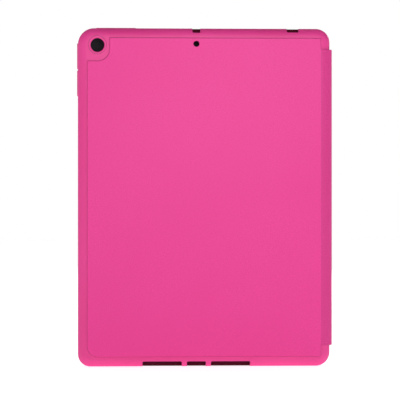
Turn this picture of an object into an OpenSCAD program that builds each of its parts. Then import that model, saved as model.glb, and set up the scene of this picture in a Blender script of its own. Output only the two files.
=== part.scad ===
// Folio case for a tablet. A soft tray holds the tablet and a stylus, a skin is bonded to its back,
// and a cover of three stiff panels turns on a spine along the stylus side.
// X runs from the free edge to the spine, Y from the back to the cover, Z up. The case stands on Z = 0.

/* [Tablet] */
// Width of the tablet that the tray holds
tablet_w = 174.1; // [120:0.1:230]
// Height of the tablet
tablet_h = 250.6; // [200:0.1:310]
// Thickness of the tablet
tablet_t = 7.5; // [6:0.1:10]
// Radius of the tablet's corners
tablet_corner_r = 10.2; // [8:0.1:16]
// Clearance round the tablet's edge
bay_clearance = 0.3; // [0.1:0.05:0.8]
// Clearance between the tablet's screen and the lip
lip_clearance = 0.2; // [0.1:0.05:0.6]

/* [Tray] */
// Thickness of the tray's back
back_wall = 1.5; // [1.2:0.1:3]
// Thickness of the wall on the free side
side_wall = 2.4; // [2:0.1:4]
// Thickness of the top and bottom walls
end_wall = 2.6; // [2:0.1:4]
// Thickness of the lip in front of the tablet
lip_t = 1.1; // [0.8:0.1:2]
// How far the lip reaches over the tablet
lip_overhang = 1.3; // [0.6:0.1:2.5]
// Width of the rounded shoulder round the tray's back
shoulder_w = 6.9; // [4:0.1:8.5]
// Depth of that shoulder, from the tray's back forwards
shoulder_d = 4.2; // [3.5:0.1:5.2]
// Width of the rounding round the bay's floor
floor_edge_w = 4.6; // [3:0.1:6]
// Depth of the rounding round the bay's floor
floor_edge_d = 2.8; // [2.5:0.1:4]
// Tray corner radius, free side, bottom
free_bottom_r = 9.4; // [8.6:0.1:16]
// Tray corner radius, free side, top
free_top_r = 12.4; // [8.6:0.1:16]
// Tray corner radius, spine side, bottom
spine_bottom_r = 10.6; // [8.6:0.1:14]
// Tray corner radius, spine side, top
spine_top_r = 10.4; // [8.6:0.1:14]

/* [Stylus channel] */
// Wall between the tablet and the stylus
divider = 2.0; // [1.5:0.1:3]
// Diameter of the stylus
stylus_d = 8.9; // [7:0.1:10]
// Length of the stylus
stylus_length = 166; // [120:1:176]
// Clearance round the stylus
stylus_clearance = 0.45; // [0.2:0.05:0.8]
// Clearance past each end of the stylus
stylus_end_clearance = 5; // [2:0.5:8]
// Tray thickness behind the stylus
channel_floor = 1.2; // [1:0.1:2]
// Wall between the stylus and the spine
outer_wall = 2.3; // [2:0.1:4]
// How far each snap rib reaches into the channel
snap_reach = 0.5; // [0.3:0.05:0.8]
// Length of each snap rib
snap_length = 14; // [8:1:24]
// Radius of the thumb cut-out in the divider
thumb_r = 9; // [6:0.5:12]

/* [Camera, microphones and ports] */
// Diameter of the camera hole
camera_d = 10.4; // [7:0.1:14]
// Camera centre, from the tablet's free side
camera_from_side = 12.2; // [10:0.1:20]
// Camera centre, from the tablet's top
camera_from_top = 10.1; // [9:0.1:20]
// Width of the rim round the camera hole
camera_rim_w = 1.5; // [1:0.1:2.5]
// Height of that rim above the tray's back
camera_rim_h = 0.5; // [0.2:0.1:0.7]
// Chamfer inside the rim
camera_chamfer = 0.6; // [0.3:0.1:0.9]
// Diameter of the microphone hole
mic_d = 4.3; // [2:0.1:6]
// Microphone centre, from the tablet's top
mic_from_top = 9.1; // [7:0.1:20]
// Width of the slot for the top microphone
top_slot_w = 6.1; // [4:0.1:10]
// Depth of the slot for the top microphone, from the tray's top
top_slot_d = 3.6; // [3.2:0.1:4.5]
// Width of the headphone notch
jack_w = 9.1; // [7:0.1:12]
// Depth of the headphone notch, from the tray's top
jack_d = 3.1; // [3:0.1:4.5]
// Headphone notch centre, from the tablet's spine side
jack_from_side = 13.9; // [12:0.1:30]
// Width of the charging port's slot
port_w = 14.4; // [11:0.1:18]
// Width of each rib between the port and a speaker slot
slot_rib = 3.8; // [2:0.1:6]
// Width of each speaker slot
speaker_w = 29.8; // [15:0.1:40]
// Depth of the three bottom slots, from the tray's bottom
bottom_slot_d = 4.0; // [3.2:0.1:5]
// Wall left in front of every slot
slot_front = 2.2; // [1.5:0.1:3]
// Corner radius of every slot
slot_r = 1.0; // [0.3:0.1:1.5]

/* [Button pads] */
// How far the volume pads stand out of the free side
volume_proud = 0.6; // [0.3:0.1:1]
// How far the power pad stands out of the top
power_proud = 0.4; // [0.3:0.1:1]
// Length of the power pad
power_length = 30.4; // [12:0.1:40]
// Power pad centre, from the tablet's free side
power_from_side = 26.1; // [20:0.1:40]
// Length of each volume pad
volume_length = 19.4; // [10:0.1:24]
// Middle of the volume pads, from the tablet's top
volume_from_top = 28.5; // [26:0.1:40]
// Gap between the two volume pads
volume_gap = 1.2; // [0.8:0.1:6]
// Width of every pad, across the edge of the case
pad_w = 4.0; // [3:0.1:4.4]
// Clearance round every pad in its window
pad_clearance = 0.2; // [0.1:0.05:0.4]
// Travel of every pad
pad_travel = 0.4; // [0.2:0.05:0.6]

/* [Back skin] */
// Thickness of the skin on the tray's back
back_skin_t = 0.8; // [0.5:0.1:1.2]
// Flat bare tray between the shoulder and the skin, free side
skin_margin_side = 0.2; // [0:0.1:2]
// Flat bare tray between the shoulder and the skin, top and bottom
skin_margin_end = 0.6; // [0:0.1:2]
// Corner radius of the skin
skin_corner_r = 8; // [3:0.5:12]
// Bare tray between the camera hole and the skin, towards the spine
notch_side = 4.0; // [3:0.1:6]
// Bare tray between the camera hole and the skin, downwards
notch_below = 6.9; // [5:0.1:9]
// Corner radius of the skin's notch round the camera
notch_r = 9; // [4:0.5:9]

/* [Spine and hinges] */
// Gap between the tray and the spine
spine_gap = 0.3; // [0.2:0.05:0.6]
// Thickness of the skin on the spine
spine_skin_t = 0.5; // [0.4:0.1:0.8]
// Thickness of the spine board
spine_board_t = 0.6; // [0.4:0.1:1]
// Thickness of the spine lining
spine_lining_t = 0.4; // [0.3:0.1:0.6]
// Height of bare tray below the spine
spine_from_bottom = 16; // [13:0.5:30]
// Height of bare tray above the spine
spine_from_top = 15.9; // [13:0.1:30]
// Outer radius of the bend at the front hinge
front_bend_r = 4.0; // [3.5:0.1:4.5]
// Thickness of the skin at the hinges
hinge_skin_t = 0.45; // [0.3:0.05:0.45]
// Thickness of the lining at the hinges
hinge_lining_t = 0.3; // [0.2:0.05:0.3]
// Gap between a hinge strip and the stiff panel that it carries
seam_gap = 0.05; // [0.02:0.01:0.1]

/* [Cover] */
// Gap between the tray's lip and the closed cover
cover_gap = 0.3; // [0.2:0.05:0.6]
// Thickness of the cover's skin
cover_skin_t = 0.8; // [0.5:0.1:1.2]
// Thickness of the panel boards
board_t = 1.4; // [1.2:0.1:2]
// Thickness of the cover's lining
lining_t = 0.6; // [0.3:0.1:0.8]
// How far the cover's edge stays inside the tray's outline
cover_inset = 0.6; // [0.3:0.1:1.5]
// Corner radius of the cover beside the spine
cover_spine_r = 8; // [4:0.5:9]
// Width of the skin that wraps each board's edge
edge_wrap = 1.2; // [0.8:0.1:2]
// Angle that each fold turns through at its limit
fold_angle = 118; // [90:1:125]
// Clearance between two panels' edges at that limit
fold_clearance = 0.6; // [0.4:0.1:1]
// Thickness of the skin pressed into each fold
fold_skin_t = 0.7; // [0.5:0.05:0.7]
// Radius of the panels' corners beside a fold, and of the skin's other cut corners
cut_corner_r = 0.6; // [0.3:0.1:1]
// Radius of the crease along each fold
crease_r = 0.4; // [0.2:0.05:0.45]
// How much shorter the outer panel is than the other two
outer_relief = 3.8; // [3.6:0.1:8]

/* [Magnets] */
// Diameter of each closing magnet
magnet_d = 8; // [5:0.5:12]
// Thickness of every magnet
magnet_t = 1.0; // [0.6:0.1:1.1]
// Number of closing magnets
magnet_count = 6; // [3:1:8]
// Distance between closing magnets
magnet_pitch = 36; // [20:1:38]
// Magnet centres, from the cover's free edge
magnet_from_edge = 7; // [7:0.5:12]
// Length of the sleep magnet
sleep_length = 14; // [8:1:20]
// Width of the sleep magnet
sleep_w = 4; // [3:0.5:6]
// Sleep magnet centre, from the cover's free edge
sleep_from_edge = 22; // [16:0.5:30]
// Width of the steel stand strip
strip_w = 9; // [6:0.5:14]
// Length of the steel stand strip
strip_length = 190; // [120:1:200]
// Thickness of the steel stand strip
strip_t = 0.6; // [0.4:0.1:1]
// Stand strip's edge, from the inner panel's hinge edge
strip_from_hinge = 4; // [3:0.5:10]
// Clearance round every magnet and the strip in its pocket
pocket_clearance = 0.05; // [0.02:0.01:0.2]

/* [Hidden] */
$fn = 96;
arc_steps = 12;
reach = 1;
half_turn = sin(45);

bay_w = tablet_w + 2 * bay_clearance;
bay_h = tablet_h + 2 * bay_clearance;
bay_depth = tablet_t + lip_clearance;
bay_r = tablet_corner_r + bay_clearance;
channel_w = stylus_d + 2 * stylus_clearance;
channel_r = channel_w / 2;
channel_length = stylus_length + 2 * stylus_end_clearance;

tray_w = side_wall + bay_w + divider + channel_w + outer_wall;
tray_h = bay_h + 2 * end_wall;
tray_t = back_wall + bay_depth + lip_t;
spine_t = spine_skin_t + spine_board_t + spine_lining_t;
cover_t = cover_skin_t + board_t + lining_t;

case_w = volume_proud + tray_w + spine_gap + spine_t;
case_t = back_skin_t + tray_t + cover_gap + cover_t;

tray_left = volume_proud - case_w / 2;
bay_left = tray_left + side_wall;
bay_right = bay_left + bay_w;
channel_left = bay_right + divider;
channel_x = channel_left + channel_r;
tray_right = tray_left + tray_w;
spine_in = tray_right + spine_gap;
spine_out = spine_in + spine_t;
tablet_left = bay_left + bay_clearance;
tablet_right = tablet_left + tablet_w;
tablet_x = (tablet_left + tablet_right) / 2;
tablet_top = tray_h - end_wall - bay_clearance;

case_back = -case_t / 2;
tray_back = case_back + back_skin_t;
bay_floor = tray_back + back_wall;
bay_front = bay_floor + bay_depth;
tray_front = tray_back + tray_t;
cover_in = tray_front + cover_gap;
cover_out = cover_in + cover_t;
channel_y = tray_back + channel_floor + channel_r;
channel_z = (tray_h - channel_length) / 2;
slot_y = tray_front - slot_front;
pad_y = tray_back + shoulder_d + (tray_t - shoulder_d) / 2;

camera_x = tablet_left + camera_from_side;
camera_z = tablet_top - camera_from_top;
mic_z = tablet_top - mic_from_top;
power_x = tablet_left + power_from_side;
volume_z = tablet_top - volume_from_top;
volume_step = (volume_length + volume_gap) / 2;
jack_x = tablet_right - jack_from_side;
speaker_x = port_w / 2 + slot_rib + speaker_w / 2;

skin_left = tray_left + shoulder_w + skin_margin_side;
skin_right = tray_right - shoulder_w;
skin_end = shoulder_w + skin_margin_end;
back_bend_w = spine_out - skin_right;
back_bend_d = back_skin_t + shoulder_d;
spine_z = spine_from_bottom;
spine_h = tray_h - spine_from_bottom - spine_from_top;
spine_y = case_back + back_bend_d + seam_gap;
spine_w = cover_out - front_bend_r - spine_y;
hinge_t = hinge_skin_t + hinge_lining_t;

// The front hinge turns on the axis that keeps its strip's length when the cover lies flat.
flat_shift = (front_bend_r - hinge_t / 2) * (1 - PI / 4);
cover_pivot_x = spine_out - hinge_t / 2 - flat_shift;

cover_right = spine_out - front_bend_r - seam_gap;
cover_left = tray_left + cover_inset;
cover_h = tray_h - 2 * cover_inset;
panel_pitch = (cover_pivot_x - cover_left + outer_relief) / 3;
fold_1_x = cover_pivot_x - panel_pitch;
fold_2_x = fold_1_x - panel_pitch;
fold_y = cover_in + lining_t + fold_skin_t;

// Half the width of each fold's strip, so that the panels' outer edges stay clear as they swing together.
fold_half = (board_t + cover_skin_t - fold_skin_t) * tan(fold_angle / 2) + fold_clearance;

// Each panel is [left edge, right edge, corner radii from bottom left, anticlockwise].
INNER = [fold_1_x + fold_half, cover_right,
    [cut_corner_r, cover_spine_r, cover_spine_r, cut_corner_r]];
MIDDLE = [fold_2_x + fold_half, fold_1_x - fold_half,
    [cut_corner_r, cut_corner_r, cut_corner_r, cut_corner_r]];
OUTER = [cover_left, fold_2_x - fold_half,
    [free_bottom_r - cover_inset, cut_corner_r, cut_corner_r, free_top_r - cover_inset]];

TRAY_PINK = "#d9468a";
SKIN_PINK = "#ee579f";
LINING_GREY = "#3d3640";
BOARD_GREY = "#c8c4bc";
STEEL = "#b4b6ba";

// Outlines

function unit(v) = v / norm(v);

// The points of one corner, rounded to radius r. The corner may turn either way.
function rounded_corner(before, corner, after, r) =
    let (
        back = unit(before - corner),
        on = unit(after - corner),
        half = acos(back * on) / 2,
        centre = corner + unit(back + on) * r / sin(half),
        first = corner + back * r / tan(half) - centre,
        last = corner + on * r / tan(half) - centre,
        start = atan2(first[1], first[0]),
        turn = (atan2(last[1], last[0]) - start + 540) % 360 - 180
    )
    [for (i = [0:arc_steps]) let (a = start + turn * i / arc_steps) centre + r * [cos(a), sin(a)]];

// A closed outline through corners, each rounded to its own radius.
function rounded(corners, radii) =
    let (n = len(corners))
    [for (i = [0:n - 1])
        each rounded_corner(corners[(i + n - 1) % n], corners[i], corners[(i + 1) % n], radii[i])];

// A rectangle from low to high, with radii from bottom left, anticlockwise.
function rounded_box(low, high, radii) =
    rounded([low, [high[0], low[1]], high, [low[0], high[1]]], radii);

// A soft edge w wide and d deep: a wide arc that runs into a tight one halfway through the turn.
// It starts at [w, 0] and ends at [0, d]. An inset line runs parallel to it, on the inside.
function soft_edge(w, d, inset = 0) =
    let (
        wide = (w * half_turn - d * (1 - half_turn)) / (2 * half_turn - 1),
        tight = (d * half_turn - w * (1 - half_turn)) / (2 * half_turn - 1)
    )
    concat(
        [for (i = [0:arc_steps - 1]) let (a = 45 * i / arc_steps)
            [w - (wide - inset) * sin(a), wide - (wide - inset) * cos(a)]],
        [for (i = [0:arc_steps]) let (a = 45 + 45 * i / arc_steps)
            [tight - (tight - inset) * sin(a), d - (tight - inset) * cos(a)]]
    );

function reversed(list) = [for (i = [len(list) - 1:-1:0]) list[i]];

// Placing

// Stands a shape up: its X stays, its Y becomes Z, and its Z runs forwards from y.
module standing(y) {
    multmatrix([[1, 0, 0, 0], [0, 0, 1, y], [0, 1, 0, 0], [0, 0, 0, 1]]) children();
}

// Stands a shape up facing the spine: its X becomes Y, its Y becomes Z, and its Z runs along X from x.
module sideways(x) {
    multmatrix([[0, 0, 1, x], [1, 0, 0, 0], [0, 1, 0, 0], [0, 0, 0, 1]]) children();
}

// A block with rounded corners and a soft edge all round its Z = 0 face.
module soft_block(w, h, t, radii, edge_w, edge_d) {
    r = radii;
    edge = soft_edge(edge_w, edge_d);
    linear_extrude(t)
        polygon([
            [r[0], edge_w], [w - r[1], edge_w], [w - r[1], r[1]], [w - edge_w, r[1]],
            [w - edge_w, h - r[2]], [w - r[2], h - r[2]], [w - r[2], h - edge_w], [r[3], h - edge_w],
            [r[3], h - r[3]], [edge_w, h - r[3]], [edge_w, r[0]], [r[0], r[0]]
        ]);
    starts = [[r[0], 0], [w, r[1]], [w - r[2], h], [0, h - r[3]]];
    lengths = [w - r[0] - r[1], h - r[1] - r[2], w - r[2] - r[3], h - r[3] - r[0]];
    centres = [[r[0], r[0]], [w - r[1], r[1]], [w - r[2], h - r[2]], [r[3], h - r[3]]];
    for (i = [0:3]) {
        translate(starts[i]) rotate(90 * i) rotate([90, 0, 90])
            linear_extrude(lengths[i]) polygon(concat(edge, [[0, t], [edge_w, t]]));
        translate(centres[i]) rotate(180 + 90 * i)
            rotate_extrude(angle = 90)
                polygon(concat([[0, t], [0, 0]], [for (p = edge) [r[i] - p[0], p[1]]], [[r[i], t]]));
    }
}

// Tray

module slot_cut(x, w, low, high) {
    standing(tray_back - reach)
        translate([x, 0])
            linear_extrude(slot_y - tray_back + reach)
                polygon(rounded_box([-w / 2, low], [w / 2, high], [slot_r, slot_r, slot_r, slot_r]));
}

module port_slots() {
    low = -slot_r - reach;
    slot_cut(tablet_x, port_w, low, bottom_slot_d);
    for (side = [-1, 1]) slot_cut(tablet_x + side * speaker_x, speaker_w, low, bottom_slot_d);
    high = tray_h + slot_r + reach;
    slot_cut(tablet_x, top_slot_w, tray_h - top_slot_d, high);
    slot_cut(jack_x, jack_w, tray_h - jack_d, high);
}

// The outline of a pad that is long along Y, with round ends.
module pad_outline(length, clearance) {
    w = pad_w / 2 + clearance;
    l = length / 2 + clearance;
    translate([0, -l + w]) circle(w);
    translate([0, l - w]) circle(w);
    square([2 * w, 2 * (l - w)], center = true);
}

module volume_place(z) {
    translate([0, pad_y, z]) sideways(tray_left) children();
}

module power_place() {
    translate([power_x, pad_y, tray_h]) rotate([180, 0, 90]) children();
}

module button_windows() {
    for (side = [-1, 1])
        volume_place(volume_z + side * volume_step)
            translate([0, 0, -reach])
                linear_extrude(side_wall + 2 * reach) pad_outline(volume_length, pad_clearance);
    power_place()
        translate([0, 0, -reach])
            linear_extrude(end_wall + 2 * reach) pad_outline(power_length, pad_clearance);
}

module camera_rim() {
    translate([camera_x, tray_back + reach, camera_z]) rotate([90, 0, 0])
        cylinder(r = camera_d / 2 + camera_rim_w, h = camera_rim_h + reach);
}

module camera_and_microphone() {
    mouth = camera_rim_h + camera_chamfer;
    translate([camera_x, bay_floor + reach, camera_z]) rotate([90, 0, 0])
        cylinder(r = camera_d / 2, h = back_wall + mouth + reach);
    translate([camera_x, tray_back - camera_rim_h + camera_chamfer, camera_z]) rotate([90, 0, 0])
        cylinder(r1 = camera_d / 2, r2 = camera_d / 2 + 2 * camera_chamfer, h = 2 * camera_chamfer);
    translate([tablet_x, bay_floor + reach, mic_z]) rotate([90, 0, 0])
        cylinder(r = mic_d / 2, h = back_wall + 2 * reach);
}

module stylus_channel() {
    translate([channel_x, channel_y, channel_z]) cylinder(r = channel_r, h = channel_length);
    translate([channel_left, channel_y, channel_z])
        cube([channel_w, tray_front - channel_y + reach, channel_length]);
    translate([channel_left - divider / 2, tray_front + reach, tray_h / 2]) rotate([90, 0, 0])
        cylinder(r = thumb_r, h = tray_front - channel_y + reach);
}

module snap_ribs() {
    rib_r = divider / 2;
    for (side = [-1, 1], share = [1 / 6, 5 / 6])
        translate([
            channel_x + side * (channel_r + rib_r - snap_reach),
            tray_front - lip_t - rib_r,
            channel_z + share * channel_length - snap_length / 2
        ])
            cylinder(r = rib_r, h = snap_length);
}

module tray_shell() {
    color(TRAY_PINK) {
        difference() {
            union() {
                standing(tray_back) translate([tray_left, 0])
                    soft_block(tray_w, tray_h, tray_t,
                        [free_bottom_r, spine_bottom_r, spine_top_r, free_top_r], shoulder_w, shoulder_d);
                camera_rim();
            }
            standing(bay_floor) translate([bay_left, end_wall])
                soft_block(bay_w, bay_h, bay_depth, [bay_r, bay_r, bay_r, bay_r], floor_edge_w, floor_edge_d);
            standing(bay_front - reach)
                linear_extrude(lip_t + 2 * reach)
                    polygon(rounded_box(
                        [bay_left + lip_overhang, end_wall + lip_overhang],
                        [bay_right - lip_overhang, tray_h - end_wall - lip_overhang],
                        [for (i = [0:3]) bay_r - lip_overhang]));
            stylus_channel();
            camera_and_microphone();
            port_slots();
            button_windows();
        }
        snap_ribs();
    }
}

module pad(length, wall, proud) {
    translate([0, 0, -proud])
        linear_extrude(proud + wall - pad_travel - pad_clearance) pad_outline(length, 0);
}

module volume_up_button() {
    color(TRAY_PINK) volume_place(volume_z + volume_step) pad(volume_length, side_wall, volume_proud);
}

module volume_down_button() {
    color(TRAY_PINK) volume_place(volume_z - volume_step) pad(volume_length, side_wall, volume_proud);
}

module power_button() {
    color(TRAY_PINK) power_place() pad(power_length, end_wall, power_proud);
}

// Back skin and back hinge

module back_skin() {
    top = tray_h - skin_end;
    notch_x = camera_x + camera_d / 2 + notch_side;
    notch_z = camera_z - camera_d / 2 - notch_below;
    color(SKIN_PINK) difference() {
        standing(case_back) linear_extrude(back_skin_t)
            polygon(rounded(
                [[skin_left, skin_end], [skin_right, skin_end], [skin_right, top], [notch_x, top],
                    [notch_x, notch_z], [skin_left, notch_z]],
                [skin_corner_r, cut_corner_r, cut_corner_r, cut_corner_r, notch_r, cut_corner_r]));
        translate([tablet_x, tray_back + reach, mic_z]) rotate([90, 0, 0])
            cylinder(r = mic_d / 2, h = back_skin_t + 2 * reach);
    }
}

// A strip that rolls from the back skin round to the spine, between two depths under its outer face.
module back_bend(outer, inner) {
    outer_face = soft_edge(back_bend_w, back_bend_d, outer);
    inner_face = soft_edge(back_bend_w, back_bend_d, inner);
    translate([0, 0, spine_z]) linear_extrude(spine_h)
        polygon([for (p = concat(outer_face, reversed(inner_face))) [spine_out - p[0], case_back + p[1]]]);
}

module back_hinge_skin() {
    color(SKIN_PINK) back_bend(0, hinge_skin_t);
}

module back_hinge_lining() {
    color(LINING_GREY) back_bend(hinge_skin_t, hinge_t);
}

// Spine and front hinge

// The spine's outline in its own plane, drawn in by a margin on every side.
module spine_outline(margin) {
    polygon(rounded_box(
        [spine_y + margin, spine_z + margin],
        [spine_y + spine_w - margin, spine_z + spine_h - margin],
        [for (i = [0:3]) cut_corner_r]));
}

module spine_skin() {
    color(SKIN_PINK) difference() {
        sideways(spine_in + spine_lining_t) linear_extrude(spine_board_t + spine_skin_t) spine_outline(0);
        sideways(spine_in + spine_lining_t - reach)
            linear_extrude(spine_board_t + reach) spine_outline(edge_wrap / 2);
    }
}

module spine_board() {
    color(BOARD_GREY)
        sideways(spine_in + spine_lining_t) linear_extrude(spine_board_t) spine_outline(edge_wrap / 2);
}

module spine_lining() {
    color(LINING_GREY) sideways(spine_in) linear_extrude(spine_lining_t) spine_outline(0);
}

// A quarter ring from the spine round to the cover, between two depths under its outer face.
module front_bend(outer, inner) {
    arc = [for (i = [0:2 * arc_steps]) 45 * i / arc_steps];
    points = concat(
        [for (a = arc) (front_bend_r - outer) * [cos(a), sin(a)]],
        [for (a = reversed(arc)) (front_bend_r - inner) * [cos(a), sin(a)]]
    );
    translate([spine_out - front_bend_r, cover_out - front_bend_r, spine_z])
        linear_extrude(spine_h) polygon(points);
}

module front_hinge_skin() {
    color(SKIN_PINK) front_bend(0, hinge_skin_t);
}

module front_hinge_lining() {
    color(LINING_GREY) front_bend(hinge_skin_t, hinge_t);
}

// Cover panels and folds

// A panel's outline, drawn in by a margin on every side.
module panel_outline(panel, margin) {
    polygon(rounded_box(
        [panel[0] + margin, cover_inset + margin],
        [panel[1] - margin, cover_inset + cover_h - margin],
        [for (r = panel[2]) max(r - margin, cut_corner_r)]));
}

module panel_skin(panel) {
    difference() {
        standing(cover_in + lining_t) linear_extrude(board_t + cover_skin_t) panel_outline(panel, 0);
        standing(cover_in + lining_t - reach) linear_extrude(board_t + reach) panel_outline(panel, edge_wrap);
    }
}

module panel_board(panel) {
    standing(cover_in + lining_t) linear_extrude(board_t) panel_outline(panel, edge_wrap);
}

module panel_lining(panel) {
    standing(cover_in) linear_extrude(lining_t) panel_outline(panel, 0);
}

module inner_skin() {
    color(SKIN_PINK) panel_skin(INNER);
}

module inner_lining() {
    color(LINING_GREY) panel_lining(INNER);
}

module inner_board() {
    color(BOARD_GREY) difference() {
        panel_board(INNER);
        strip_shape(pocket_clearance, reach);
    }
}

module middle_skin() {
    color(SKIN_PINK) panel_skin(MIDDLE);
}

module middle_lining() {
    color(LINING_GREY) panel_lining(MIDDLE);
}

module middle_board() {
    color(BOARD_GREY) panel_board(MIDDLE);
}

module outer_skin() {
    color(SKIN_PINK) panel_skin(OUTER);
}

module outer_lining() {
    color(LINING_GREY) panel_lining(OUTER);
}

module outer_board() {
    color(BOARD_GREY) difference() {
        panel_board(OUTER);
        magnet_discs(pocket_clearance, reach);
        sleep_bar(pocket_clearance, reach);
    }
}

// The strip of skin in one fold, creased along the axis that it turns on.
module fold_skin(x) {
    w = 2 * (fold_half - seam_gap);
    difference() {
        translate([x - w / 2, cover_in + lining_t, cover_inset]) cube([w, fold_skin_t, cover_h]);
        translate([x, fold_y, cover_inset - reach]) cylinder(r = crease_r, h = cover_h + 2 * reach);
    }
}

module fold_lining(x) {
    w = 2 * (fold_half - seam_gap);
    translate([x - w / 2, cover_in, cover_inset]) cube([w, lining_t, cover_h]);
}

module fold_1_skin() {
    color(SKIN_PINK) fold_skin(fold_1_x);
}

module fold_1_lining() {
    color(LINING_GREY) fold_lining(fold_1_x);
}

module fold_2_skin() {
    color(SKIN_PINK) fold_skin(fold_2_x);
}

module fold_2_lining() {
    color(LINING_GREY) fold_lining(fold_2_x);
}

// Magnets and stand strip, each in a pocket in its board's inner face

module magnet_discs(clearance, extra) {
    for (i = [0:magnet_count - 1])
        translate([
            cover_left + magnet_from_edge,
            cover_in + lining_t + magnet_t,
            tray_h / 2 + (i - (magnet_count - 1) / 2) * magnet_pitch
        ])
            rotate([90, 0, 0]) cylinder(r = magnet_d / 2 + clearance, h = magnet_t + extra);
}

module sleep_bar(clearance, extra) {
    translate([
        cover_left + sleep_from_edge - sleep_w / 2 - clearance,
        cover_in + lining_t - extra,
        tray_h / 2 - sleep_length / 2 - clearance
    ])
        cube([sleep_w + 2 * clearance, magnet_t + extra, sleep_length + 2 * clearance]);
}

module strip_shape(clearance, extra) {
    translate([
        cover_right - strip_from_hinge - strip_w - clearance,
        cover_in + lining_t - extra,
        tray_h / 2 - strip_length / 2 - clearance
    ])
        cube([strip_w + 2 * clearance, strip_t + extra, strip_length + 2 * clearance]);
}

module closing_magnets() {
    color(STEEL) magnet_discs(0, 0);
}

module sleep_magnet() {
    color(STEEL) sleep_bar(0, 0);
}

module stand_strip() {
    color(STEEL) strip_shape(0, 0);
}

tray_shell();
back_skin();
back_hinge_skin();
back_hinge_lining();
power_button();
volume_up_button();
volume_down_button();
spine_board();
spine_skin();
spine_lining();
front_hinge_skin();
front_hinge_lining();
inner_board();
inner_skin();
inner_lining();
stand_strip();
fold_1_skin();
fold_1_lining();
middle_board();
middle_skin();
middle_lining();
fold_2_skin();
fold_2_lining();
outer_board();
outer_skin();
outer_lining();
closing_magnets();
sleep_magnet();
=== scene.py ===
"""Visual model of a tablet folio case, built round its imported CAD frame.

The moulded tray, its button pads and the hidden boards, magnets and steel strip keep their CAD shapes and get
better finishes. Every leather and microfibre solid is replaced by a wrapped, turned and rounded piece.
Sizes are in metres. X runs from the free edge to the spine, Y from the back to the cover, Z up.
"""
import logging
import math
from contextlib import contextmanager
from dataclasses import dataclass, field
from enum import Enum
from functools import cache
from typing import Any, Callable, Iterator

import bmesh
import bpy
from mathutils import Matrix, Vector


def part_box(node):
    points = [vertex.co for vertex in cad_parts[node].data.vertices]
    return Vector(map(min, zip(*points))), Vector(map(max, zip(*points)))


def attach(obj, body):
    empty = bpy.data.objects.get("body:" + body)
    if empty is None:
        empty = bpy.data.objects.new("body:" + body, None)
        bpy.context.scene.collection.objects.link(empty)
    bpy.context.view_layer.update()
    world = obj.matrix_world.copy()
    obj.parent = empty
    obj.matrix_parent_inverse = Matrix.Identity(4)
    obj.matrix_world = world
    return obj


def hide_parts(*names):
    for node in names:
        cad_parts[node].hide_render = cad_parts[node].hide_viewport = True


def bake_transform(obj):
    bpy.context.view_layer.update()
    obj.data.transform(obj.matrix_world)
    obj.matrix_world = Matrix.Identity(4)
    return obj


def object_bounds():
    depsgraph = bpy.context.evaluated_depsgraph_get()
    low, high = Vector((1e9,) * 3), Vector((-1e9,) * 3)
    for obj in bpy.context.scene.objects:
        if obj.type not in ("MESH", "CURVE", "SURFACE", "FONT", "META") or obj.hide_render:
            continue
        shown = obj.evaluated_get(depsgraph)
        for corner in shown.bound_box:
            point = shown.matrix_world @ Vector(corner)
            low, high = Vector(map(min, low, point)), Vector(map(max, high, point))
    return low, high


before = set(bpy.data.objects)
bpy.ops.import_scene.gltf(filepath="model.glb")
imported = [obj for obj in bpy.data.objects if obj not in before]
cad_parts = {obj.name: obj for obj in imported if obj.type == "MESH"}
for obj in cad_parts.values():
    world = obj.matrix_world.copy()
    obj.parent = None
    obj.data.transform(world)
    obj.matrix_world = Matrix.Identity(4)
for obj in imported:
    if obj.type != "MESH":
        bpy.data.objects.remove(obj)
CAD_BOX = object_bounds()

LOG = logging.getLogger("folio_case")
MM = 0.001
TOUCH = 0.002 * MM  # closer than this counts as the same place
CORNER_TURN = math.radians(50)  # an edge that turns by more than this is a corner
SMOOTH_TURN = math.radians(38)  # one that turns by less is shaded smooth
UPRIGHT = math.radians(90)
STRIP_NAMES = {"skin": "leather", "lining": "suede"}  # what the pieces for each CAD layer are called
Colour = tuple[float, float, float, float]
Inputs = dict[str | int, Any]


class Body(Enum):
    """A moving body of the case."""

    TRAY = "tray"
    SPINE = "spine"
    INNER = "inner_panel"
    MIDDLE = "middle_panel"
    OUTER = "outer_panel"


class Slot(Enum):
    """A material slot of the record."""

    LEATHER = "outer_skin"
    SUEDE = "microfibre_lining"


class Pick(Enum):
    """What an edit-mode selection is made of."""

    VERT = "VERT"
    EDGE = "EDGE"
    FACE = "FACE"


class Side(Enum):
    """A long side of a cover panel, by the way that it faces along X."""

    FREE = -1
    SPINE = 1


# Node helpers

def linear(hex_colour: str) -> Colour:
    """Turn an sRGB hex colour into linear RGBA.

    Args:
        hex_colour: Six hex digits after a hash sign.

    Returns:
        Linear red, green and blue, and an alpha of one.
    """
    parts = [int(hex_colour[i:i + 2], 16) / 255 for i in (1, 3, 5)]
    red, green, blue = (p / 12.92 if p <= 0.04045 else ((p + 0.055) / 1.055) ** 2.4 for p in parts)
    return red, green, blue, 1.0


def add_node(tree: bpy.types.NodeTree, kind: str, inputs: Inputs | None = None,
             **settings: Any) -> bpy.types.Node:
    """Add one node with its settings, input values and links.

    Args:
        tree: The node tree that the node goes into.
        kind: The node's Blender type name.
        inputs: Each input's value, or the socket that it is linked from.
        settings: The node's own properties.

    Returns:
        The new node.
    """
    node = tree.nodes.new(kind)
    for name, value in settings.items():
        setattr(node, name, value)
    for name, value in (inputs or {}).items():
        if isinstance(value, bpy.types.NodeSocket):
            tree.links.new(value, node.inputs[name])
        else:
            node.inputs[name].default_value = value
    return node


def new_material(name: str) -> bpy.types.Material:
    """Make a material with an empty node tree.

    Args:
        name: The finish's name.

    Returns:
        The material, with no node in it.
    """
    material = bpy.data.materials.new(name)
    material.use_nodes = True
    material.node_tree.nodes.clear()
    return material


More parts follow.
